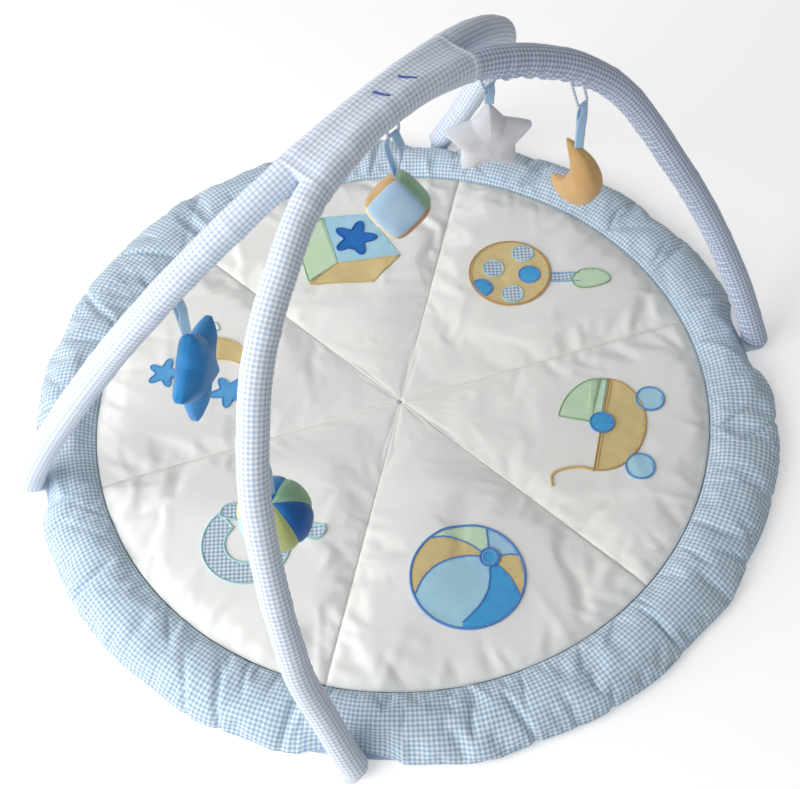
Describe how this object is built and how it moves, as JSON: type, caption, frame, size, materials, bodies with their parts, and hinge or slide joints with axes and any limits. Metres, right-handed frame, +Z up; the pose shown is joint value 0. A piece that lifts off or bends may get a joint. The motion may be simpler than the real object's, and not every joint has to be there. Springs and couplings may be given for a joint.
{
  "type": "activity play gym",
  "caption": "Round quilted play mat with a padded gingham border, crossed padded arches under one top sleeve, and soft toys that hang on ribbons.",
  "frame": {"origin": "middle of the mat on the floor", "axes": "+Z up, +X along the top sleeve, the front arch leans out to -Y"},
  "size_m": [0.8918, 0.8918, 0.5317],
  "materials": {
    "backing_cloth": "plain woven cotton",
    "wadding": "soft fibre",
    "border_gingham": "woven gingham",
    "arch_gingham": "woven gingham",
    "quilted_cotton": "soft brushed cotton",
    "white_tape": "woven tape",
    "snap_plastic": "gloss",
    "rod_plastic": "satin",
    "ferrule_metal": "satin",
    "cap_rubber": "matt",
    "satin_ribbon": "satin",
    "tan_felt": "short plush",
    "green_felt": "short plush",
    "blue_felt": "short plush",
    "light_blue_felt": "short plush",
    "white_plush": "plush"
  },
  "bodies": {
    "mat": {"mat_backing": "backing_cloth", "mat_wadding": "wadding", "mat_border": "border_gingham", "mat_panel_1": "quilted_cotton", "mat_panel_2": "quilted_cotton", "mat_panel_3": "quilted_cotton", "mat_panel_4": "quilted_cotton", "mat_panel_5": "quilted_cotton", "mat_panel_6": "quilted_cotton", "motif_rattle": "tan_felt", "motif_block": "green_felt", "motif_moon": "blue_felt", "motif_dummy": "border_gingham", "motif_ball": "blue_felt", "motif_pram": "tan_felt", "front_left_tab": "white_tape", "front_right_tab": "white_tape", "back_left_tab": "white_tape", "back_right_tab": "white_tape", "snap_sockets": "snap_plastic"},
    "arches": {"snap_studs": "snap_plastic", "front_ferrule": "ferrule_metal", "back_ferrule": "ferrule_metal", "top_sleeve": "arch_gingham", "front_left_rod": "rod_plastic", "front_right_rod": "rod_plastic", "back_left_rod": "rod_plastic", "back_right_rod": "rod_plastic", "front_left_cap": "cap_rubber", "front_right_cap": "cap_rubber", "back_left_cap": "cap_rubber", "back_right_cap": "cap_rubber", "front_left_padding": "wadding", "front_right_padding": "wadding", "back_left_padding": "wadding", "back_right_padding": "wadding", "front_left_sleeve": "arch_gingham", "front_right_sleeve": "arch_gingham", "back_left_sleeve": "arch_gingham", "back_right_sleeve": "arch_gingham", "ball_tie": "arch_gingham", "blue_star_tie": "arch_gingham", "cube_tie": "arch_gingham", "white_star_tie": "arch_gingham", "moon_tie": "arch_gingham"},
    "ball_ribbon": {"ball_ribbon_loop": "satin_ribbon"},
    "ball_toy": {"ball_cover": "blue_felt", "ball_filling": "wadding"},
    "blue_star_ribbon": {"blue_star_ribbon_loop": "satin_ribbon"},
    "blue_star_toy": {"blue_star_cover": "blue_felt", "blue_star_filling": "wadding"},
    "cube_ribbon": {"cube_ribbon_loop": "satin_ribbon"},
    "cube_toy": {"cube_cover": "light_blue_felt", "cube_filling": "wadding"},
    "white_star_ribbon": {"white_star_ribbon_loop": "satin_ribbon"},
    "white_star_toy": {"white_star_cover": "white_plush", "white_star_filling": "wadding"},
    "moon_ribbon": {"moon_ribbon_loop": "satin_ribbon"},
    "moon_toy": {"moon_cover": "tan_felt", "moon_filling": "wadding"}
  },
  "joints": [
    {"name": "arches_lift", "type": "slide", "parent": "mat", "child": "arches", "axis": [0, 0, 1], "range_m": [0, 0.15]},
    {"name": "ball_swing", "type": "hinge", "parent": "arches", "child": "ball_ribbon", "pos_m": [-0.27597, -0.09514, 0.32518], "axis": [1, 0, 0], "range_deg": [-30, 30]},
    {"name": "ball_twist", "type": "hinge", "parent": "ball_ribbon", "child": "ball_toy", "pos_m": [-0.27597, -0.09514, 0.26718], "axis": [0, 0, 1], "range_deg": [-60, 60]},
    {"name": "blue_star_swing", "type": "hinge", "parent": "arches", "child": "blue_star_ribbon", "pos_m": [-0.22629, 0.06135, 0.3922], "axis": [1, 0, 0], "range_deg": [-30, 30]},
    {"name": "blue_star_twist", "type": "hinge", "parent": "blue_star_ribbon", "child": "blue_star_toy", "pos_m": [-0.22629, 0.06135, 0.3402], "axis": [0, 0, 1], "range_deg": [-60, 60]},
    {"name": "cube_swing", "type": "hinge", "parent": "arches", "child": "cube_ribbon", "pos_m": [0, -0.01598, 0.49016], "axis": [1, 0, 0], "range_deg": [-30, 30]},
    {"name": "cube_twist", "type": "hinge", "parent": "cube_ribbon", "child": "cube_toy", "pos_m": [0, -0.01598, 0.43416], "axis": [0, 0, 1], "range_deg": [-60, 60]},
    {"name": "white_star_swing", "type": "hinge", "parent": "arches", "child": "white_star_ribbon", "pos_m": [0.12385, -0.02783, 0.46665], "axis": [1, 0, 0], "range_deg": [-30, 30]},
    {"name": "white_star_twist", "type": "hinge", "parent": "white_star_ribbon", "child": "white_star_toy", "pos_m": [0.12385, -0.02783, 0.44466], "axis": [0, 0, 1], "range_deg": [-60, 60]},
    {"name": "moon_swing", "type": "hinge", "parent": "arches", "child": "moon_ribbon", "pos_m": [0.23326, -0.06496, 0.38504], "axis": [1, 0, 0], "range_deg": [-30, 30]},
    {"name": "moon_twist", "type": "hinge", "parent": "moon_ribbon", "child": "moon_toy", "pos_m": [0.23326, -0.06496, 0.32104], "axis": [0, 0, 1], "range_deg": [-60, 60]}
  ]
}
